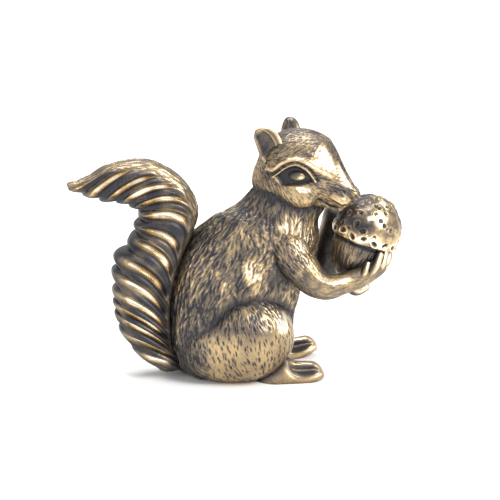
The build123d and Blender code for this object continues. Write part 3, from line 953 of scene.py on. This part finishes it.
def make_thigh(name, node, side):
    """Rays cut where they leave the haunch, with short strokes that hang down its flank; side is -1 on the
    right."""
    grid = cut_rays(lambda p: thigh_gap(p, side), thigh_centre * (1, -side, 1), *thigh_grid)
    grid = cast(grid, height=0.12, size=2.5, salt=23)
    normals = grid_normals(grid)
    x, _, z = np.moveaxis(grid, -1, 0)
    flow = np.broadcast_to((0.25, 0.0, -1.0), grid.shape)
    # painted highlight on the knee
    knee_highlight = soft_patches(grid * (1, side, 1), [knee_highlight_patch]) + 0.15 * lumps(grid, 0.7, 28)
    knee_highlight = ramp(0.25, 0.75, knee_highlight)
    dark_reflection_band = bell(z - reflection_band_height + 0.3 * lumps(grid, 1.0, 27), 0.8) * ramp(4.8, 0.5, x)
    rear = ramp(-3.0, -6.5, x)
    furry = np.maximum(ramp(7.2, 9.5, z) * ramp(5.4, 3.6, x), rear)
    fur = 0.9 * furry * strokes(grid, normals, flow, *thigh_fur)
    dashes = np.maximum(strokes(grid, normals, flow, *thigh_dashes), fur)
    # lighter below, darker in a band and above it: painted reflection of a bright floor and a dark room
    patina_and_light = 0.4 + 0.05 * ramp(7.0, 9.5, z) + 0.15 * dark_reflection_band + 0.2 * rear + 0.08 * lumps(grid, 1.8, 25)
    patina_and_light = blend(patina_and_light, 0.0, knee_highlight) + 0.5 * dashes * (1 - 0.4 * knee_highlight)
    # painted shade where the haunch meets the trunk, along its top
    painted_shade = seam(trunk_gap(grid)) * ramp(6.5, 8.5, z + 0.8 * np.maximum(x, 0))
    patina_and_light = blend(patina_and_light, 0.93, 0.78 * painted_shade)
    grid = push(grid, normals, -stroke_depth["thigh"] * dashes)
    make_piece(name, [Shell(grid, patina_and_light)], "furred_brass", node)


# Feet
foot_grid = (190, 120)
heel_x = 2.2
heel_y = 4.6
toe_y = 4.9
foot_half_width = 1.6
foot_heights = [(1.2,), (2.0,), (2.6,), (2.6,), (2.3,), (1.8,)]
# the ankle's bump: height, and middle and reach as shares of the foot's length
ankle_height = 1.15
ankle_middle = 0.375
ankle_reach = 0.1
# the hollow: middle and reach as (share of the length, angle up the side)
almond_middle = (0.68, 0.64)
almond_reach = (0.27, 0.5)
almond_depth = 0.3
almond_ridge = 0.12


def make_foot(name, node, side, toe_x, toe_lift):
    """A slipper carried from heel to toe, flat underneath and arched on top, its toe turned up, with an
    almond-shaped hollow along each side."""
    rows, columns = foot_grid
    s = 0.5 - 0.5 * np.cos(np.linspace(0, pi, rows))
    half_width = foot_half_width * round_ends(s, 0.3, 0.2)
    height = curve_through(foot_heights, s)[:, 0] * round_ends(s, 0.15, 0.2)
    height = height + ankle_height * bell(s - ankle_middle, ankle_reach)
    angle = full_turn(columns)
    across = half_width[:, None] * np.cos(angle)
    top = np.maximum(np.sin(angle), 0.0) ** 0.7
    grid = np.stack([
        (heel_x + s * (toe_x - heel_x))[:, None] * np.ones_like(angle),
        (side * heel_y + s * (side * toe_y - side * heel_y))[:, None] + across,
        height[:, None] * top + toe_lift * ramp(0.6, 1.0, s)[:, None],
    ], axis=-1)
    normals = grid_normals(grid)
    around = np.arctan2(np.sin(angle), np.abs(np.cos(angle)))
    along_almond = (s[:, None] - almond_middle[0]) / almond_reach[0]
    almond = np.hypot(along_almond, (around - almond_middle[1]) / almond_reach[1])
    hollow = ramp(1.0, 0.6, almond) * (np.sin(angle) > 0)
    ridge = bell(around - 0.5 - 0.2 * s[:, None], 0.09) * hollow * ramp(0.85, 0.5, almond)
    edge = bell(almond - 1.15, 0.15) * ramp(0.0, 0.2, np.sin(angle)) * ramp(1.0, 0.9, s)[:, None]
    patina_and_light = 0.47 - 0.38 * edge + 0.1 * lumps(grid, 1.0, 35)
    patina_and_light = blend(patina_and_light, 0.95 - 0.4 * ridge, hollow)
    # painted shade where the foot meets the haunch
    patina_and_light = blend(patina_and_light, 0.9, seam(thigh_gap(grid, side)))
    grid = push(grid, normals, almond_ridge * ridge - almond_depth * hollow)
    make_piece(name, [Shell(grid, patina_and_light)], "furred_brass", node)


# Tail, drawn from the side as (x, z)
tail_rows_per_lock = 30
tail_columns = 170
tail_spine = [
    (-7.2, 0.8), (-8.7, 4.8), (-9.1, 9.0), (-8.6, 13.1), (-7.2, 17.1), (-5.7, 20.4), (-5.2, 23.1),
    (-6.3, 25.7), (-8.4, 27.8), (-11.2, 29.2), (-14.1, 29.3), (-16.9, 28.6), (-18.4, 27.6), (-20.0, 27.0),
    (-22.0, 27.0),
]
tail_edge = [
    (-9.6, 0.4), (-12.9, 2.9), (-15.3, 6.4), (-16.0, 9.3), (-16.2, 12.7), (-16.0, 16.4), (-14.5, 18.2),
    (-13.7, 19.3), (-13.1, 21.1), (-12.6, 22.5), (-13.8, 23.5), (-15.1, 24.0), (-17.2, 24.3), (-19.5, 25.0),
    (-22.0, 26.0),
]
tail_locks = [
    # each lock's crest: where it leaves the spine and where it meets the edge, as shares of their lengths,
    # and how far it follows the spine before it bends away
    (0.0, 0.0, 0.0), (0.012, 0.13, 0.02), (0.03, 0.23, 0.05), (0.055, 0.3, 0.06), (0.085, 0.346, 0.07),
    (0.115, 0.39, 0.08), (0.15, 0.46, 0.1), (0.2, 0.53, 0.11), (0.26, 0.615, 0.12), (0.33, 0.665, 0.13),
    (0.41, 0.71, 0.14), (0.49, 0.755, 0.15), (0.56, 0.8, 0.14), (0.64, 0.86, 0.12), (0.735, 0.92, 0.1),
    (0.85, 0.985, 0.05), (1.0, 1.0, 0.0),
]
tail_thickness = [
    (1.0,), (2.3,), (3.0,), (3.4,), (3.6,), (3.5,), (3.3,), (3.1,), (2.9,), (2.7,), (2.4,), (2.0,), (1.4,),
    (0.8,),
]
crest_height = 0.95
groove_depth = 0.55


def make_tail():
    """Ovals drawn out along the locks: each follows the spine for a way and bends over to the edge, blended
    from a place that slides along the spine to one on the edge. Every lock swells into a rounded crest with
    a thin ridge beside it and a deep groove between, and ends in a round lobe."""
    # k counts the locks; w runs from 0 at the spine to 1 at the edge
    steps = len(tail_locks) - 1
    k = np.linspace(0, steps, tail_rows_per_lock * steps)
    root, end, follow = np.moveaxis(curve_through(tail_locks, k / steps), -1, 0)
    angle = full_turn(tail_columns)
    w = 0.5 - 0.5 * np.cos(angle)

    # crest, second ridge and lobe of each lock, with a chance of its own
    phase = (k[:, None] + 0.5) % 1.0
    number = np.floor(k + 0.5)
    luck = chance(np.stack([number, number * 0, number * 0], axis=-1), 95)[:, None]
    crest = bell(phase - 0.46 - 0.08 * luck, 0.21 + 0.06 * luck)
    second = bell(phase - 0.86, 0.08) * ramp(0.2, 0.5, luck)
    lobe = np.sqrt(np.clip(1 - (2 * phase - 1) ** 2, 0, 1))

    # flat outline, then thickness
    spine = even_curve(tail_spine, root[:, None] + follow[:, None] * (1 - (1 - w) ** 2))
    edge = even_curve(tail_edge, end)
    bend = w**1.4 * (1 + 0.18 * (lobe - 0.75) * ramp(0.6, 1.0, w))
    flat = blend(spine, edge[:, None], bend[..., None])
    middle = flat.mean(axis=1, keepdims=True)
    close = round_ends(k / steps, 0.01, 0.035)
    flat = blend(middle, flat, close[:, None, None])
    half_thickness = curve_through(tail_thickness, 0.5 * (root + end))[:, 0] * close
    lift = np.sign(np.sin(angle)) * np.abs(np.sin(angle)) ** 0.7
    grid = np.stack([flat[..., 0], -half_thickness[:, None] * lift, flat[..., 1]], axis=-1)
    normals = grid_normals(grid)

    # relief: the locks grow out of a smooth spine with fine hairs
    upper = ramp(8, 11, k)[:, None]
    grown = ramp(0.08 + 0.1 * upper, 0.28 + 0.14 * upper, w)
    grown = grown * ramp(0, 1.2, k)[:, None] * ramp(steps, steps - 1.2, k)[:, None]
    swell = (crest_height * np.maximum(crest, 0.5 * second) - groove_depth) * grown * ramp(1.02, 0.85, w)
    along = np.gradient(grid, axis=0)
    hairs = strokes(grid, normals, along, *tail_hairs) * (1 - grown)

    # patina: bright crests, fainter towards the spine
    shown = ramp(0.2, 0.45, w) * ramp(1.0, 0.8, w)
    faint = 0.25 - 0.2 * bell(k - 7.5, 2.5)[:, None]
    patina_and_light = 0.9 - (faint + (0.85 - faint) * shown) * ramp(0.3, 0.95, crest) * (0.85 + 0.25 * luck)
    patina_and_light = patina_and_light - 0.4 * second * shown + 0.18 * lumps(grid, 1.6, 93)
    patina_and_light = blend(0.44 + 0.3 * hairs, patina_and_light, grown)
    # painted shade where the tail meets the trunk
    patina_and_light = blend(patina_and_light, 0.93, 0.7 * seam(trunk_gap(grid)))
    grid = push(grid, normals, swell - stroke_depth["tail"] * hairs)
    make_piece("tail_plume", [Shell(grid, patina_and_light)], "plume_brass", "tail")


# Stage, light and camera
floor_reach = 1.5
floor_tones = [(0.93, 0.93, 0.93, 1), (0.96, 0.96, 0.955, 1)]
softboxes = [
    # name, place and size in millimetres, power in watts
    ("key_softbox", (260, -260, 320), 180, 2.2),
    ("fill_softbox", (-300, -200, 150), 300, 0.3),
    ("top_softbox", (0, 120, 380), 200, 1.2),
]
other_light_strength = 0.6


def make_floor():
    """A pale floor that runs out far beyond the picture."""
    corners = [(x * floor_reach, y * floor_reach, 0) for x, y in ((-1, -1), (1, -1), (1, 1), (-1, 1))]
    mesh = bpy.data.meshes.new("floor")
    mesh.from_pydata(corners, [], [(0, 1, 2, 3)])
    material = bpy.data.materials.new("pale_floor")
    material.use_nodes = True
    tree = material.node_tree
    shader = tree.nodes["Principled BSDF"]
    shader.inputs["Roughness"].default_value = 0.9
    shader.inputs["Specular IOR Level"].default_value = 0.0
    tint = tree.nodes.new("ShaderNodeMix")
    tint.data_type = "RGBA"
    tint.inputs["A"].default_value, tint.inputs["B"].default_value = floor_tones
    tree.links.new(noise_node(tree, 30.0, 2.0), tint.inputs["Factor"])
    tree.links.new(tint.outputs["Result"], shader.inputs["Base Color"])
    mesh.materials.append(material)
    floor = add_object("floor", mesh)


def make_light(name, place, size, power):
    """A square softbox that looks at the figure; place in millimetres."""
    lamp = bpy.data.lights.new(name, "AREA")
    lamp.size = size * MM
    lamp.energy = power
    light = add_object(name, lamp)
    light.location = Vector(place) * MM
    aim = Vector(camera_aim) * MM - light.location
    light.rotation_euler = aim.to_track_quat("-Z", "Y").to_euler()


def make_world():
    """A white surround for the camera and for reflections, and a plain grey one for other light."""
    world = bpy.data.worlds.new("studio")
    world.use_nodes = True
    bpy.context.scene.world = world
    tree = world.node_tree
    surround = tree.nodes["Background"]
    rays = tree.nodes.new("ShaderNodeLightPath")
    shown = math_node(tree, "MAXIMUM", rays.outputs["Is Camera Ray"], rays.outputs["Is Glossy Ray"])
    shown = math_node(tree, "MAXIMUM", shown, rays.outputs["Is Transmission Ray"])
    extra = math_node(tree, "MULTIPLY", shown, 1.0 - other_light_strength)
    strength = math_node(tree, "ADD", extra, other_light_strength)
    surround.inputs["Color"].default_value = (1, 1, 1, 1)
    tree.links.new(strength, surround.inputs["Strength"])


def make_camera():
    azimuth, elevation = radians(camera_azimuth), radians(camera_elevation)
    back = Vector((sin(azimuth) * cos(elevation), -cos(azimuth) * cos(elevation), sin(elevation)))
    view = bpy.data.cameras.new("camera")
    view.sensor_width = sensor_width
    view.lens = pixels_per_mm * camera_distance * sensor_width / picture_width
    view.clip_start = 0.01
    camera = add_object("camera", view)
    camera.location = (Vector(camera_aim) + back * camera_distance) * MM
    camera.rotation_euler = (-back).to_track_quat("-Z", "Y").to_euler()
    bpy.context.scene.camera = camera


make_trunk()
make_head()
make_ear(
    "right_ear_cup", "right_ear", base=(-2.0, -3.5, 3.2), tip=(-4.4, -4.2, 5.4), opening=(0.35, -0.9, 0.1),
    half_width=1.7, cup_depth=0.9, skew=0.3,
)
make_ear(
    "left_ear_cup", "left_ear", base=(-1.9, 3.2, 3.5), tip=(-3.3, 4.1, 5.8), opening=(0.3, 0.9, 0.1),
    half_width=1.6, cup_depth=0.8, skew=0.0,
)
make_arm("right_arm_coat", "right_arm", right_arm_rows, right_fingers, forearm=0.45)
make_arm("left_arm_coat", "left_arm", left_arm_rows, left_fingers, forearm=0.5)
make_thigh("right_thigh_coat", "right_thigh", -1)
make_thigh("left_thigh_coat", "left_thigh", 1)
make_foot("right_foot_polished", "right_foot", -1, toe_x=10.9, toe_lift=0.4)
make_foot("left_foot_polished", "left_foot", 1, toe_x=11.9, toe_lift=0.9)
make_tail()
make_nut()
make_cap()

make_floor()
for softbox in softboxes:
    make_light(*softbox)
make_world()
make_camera()
bpy.context.scene.view_settings.view_transform = "Standard"
